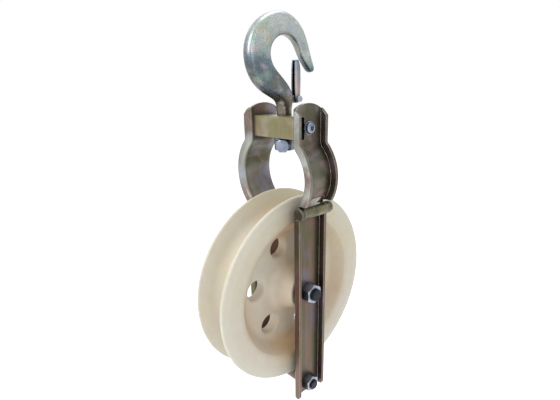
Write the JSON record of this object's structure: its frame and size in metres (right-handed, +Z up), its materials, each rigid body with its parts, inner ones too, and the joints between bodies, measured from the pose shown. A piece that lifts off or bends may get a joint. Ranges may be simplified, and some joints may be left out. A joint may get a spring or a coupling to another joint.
{
  "type": "stringing block",
  "caption": "Swivel-hook stringing block: a grooved nylon wheel between bulged steel side plates, with a hinged gate arm held shut by a captive bolt.",
  "frame": {"origin": "centre of the hook's throat, from which the block hangs", "axes": "+Z up, +X along the wheel's axle from the rear plate towards the gate, +Y along the conductor's run"},
  "size_m": [0.1416, 0.27, 0.5286],
  "materials": {
    "forged_zinc": "forged steel, pale zinc plated",
    "yellow_zinc": "pressed steel, yellow chromate plated",
    "bright_zinc": "turned steel, clear zinc plated",
    "nylon": "cast nylon, ivory, satin",
    "bearing_steel": "ground steel",
    "spring_steel": "spring wire",
    "latch_zinc": "pressed sheet, zinc plated"
  },
  "bodies": {
    "hook": {"swivel_hook": "forged_zinc", "shank_collar": "bright_zinc", "shank_thrust_washer": "bright_zinc", "collar_cross_bolt": "bright_zinc", "collar_cross_bolt_nut": "bright_zinc", "latch_rivet": "bright_zinc", "latch_spring": "spring_steel"},
    "latch": {"safety_latch": "latch_zinc"},
    "frame": {"crossbar": "yellow_zinc", "rear_crossbar_bolt": "bright_zinc", "rear_side_plate": "yellow_zinc", "gate_side_plate": "yellow_zinc", "hinge_middle_knuckle": "yellow_zinc", "hinge_pin": "bright_zinc", "hinge_pin_washer": "bright_zinc", "axle_bolt": "bright_zinc", "axle_nut": "bright_zinc", "gate_side_axle_spacer": "bright_zinc", "rear_side_axle_spacer": "bright_zinc", "bearing_distance_sleeve": "bright_zinc", "tie_bolt": "bright_zinc", "tie_bolt_nut": "bright_zinc", "tie_spacer_tube": "yellow_zinc", "gate_side_bearing_inner_ring": "bearing_steel", "rear_side_bearing_inner_ring": "bearing_steel"},
    "wheel": {"nylon_wheel": "nylon", "gate_side_bearing_outer_ring": "bearing_steel", "rear_side_bearing_outer_ring": "bearing_steel", "gate_side_bearing_balls": "bearing_steel", "rear_side_bearing_balls": "bearing_steel", "gate_side_bearing_shield": "bearing_steel", "rear_side_bearing_shield": "bearing_steel", "gate_side_circlip": "spring_steel", "rear_side_circlip": "spring_steel"},
    "gate": {"gate_arm": "yellow_zinc", "gate_hinge_knuckles": "yellow_zinc"},
    "lock_bolt": {"gate_lock_bolt": "bright_zinc", "lock_bolt_washer": "bright_zinc", "lock_bolt_retaining_ring": "spring_steel"}
  },
  "joints": [
    {"name": "hook_swivel", "type": "hinge", "parent": "hook", "child": "frame", "pos_m": [0, 0, -0.087], "axis": [0, 0, 1], "continuous": true},
    {"name": "latch_open", "type": "hinge", "parent": "hook", "child": "latch", "pos_m": [0.00278, 0.0198, -0.053], "axis": [0.9903, -0.1392, 0], "range_deg": [0, 25], "stiffness_Nm_per_rad": 0.08, "springref_deg": -20.05},
    {"name": "wheel_spin", "type": "hinge", "parent": "frame", "child": "wheel", "pos_m": [0, 0, -0.312], "axis": [1, 0, 0], "continuous": true},
    {"name": "gate_swing", "type": "hinge", "parent": "frame", "child": "gate", "pos_m": [0.0535, 0, -0.1914], "axis": [0, 1, 0], "range_deg": [0, 110]},
    {"name": "lock_bolt_draw", "type": "slide", "parent": "gate", "child": "lock_bolt", "axis": [1, 0, 0], "range_m": [0, 0.004]}
  ]
}
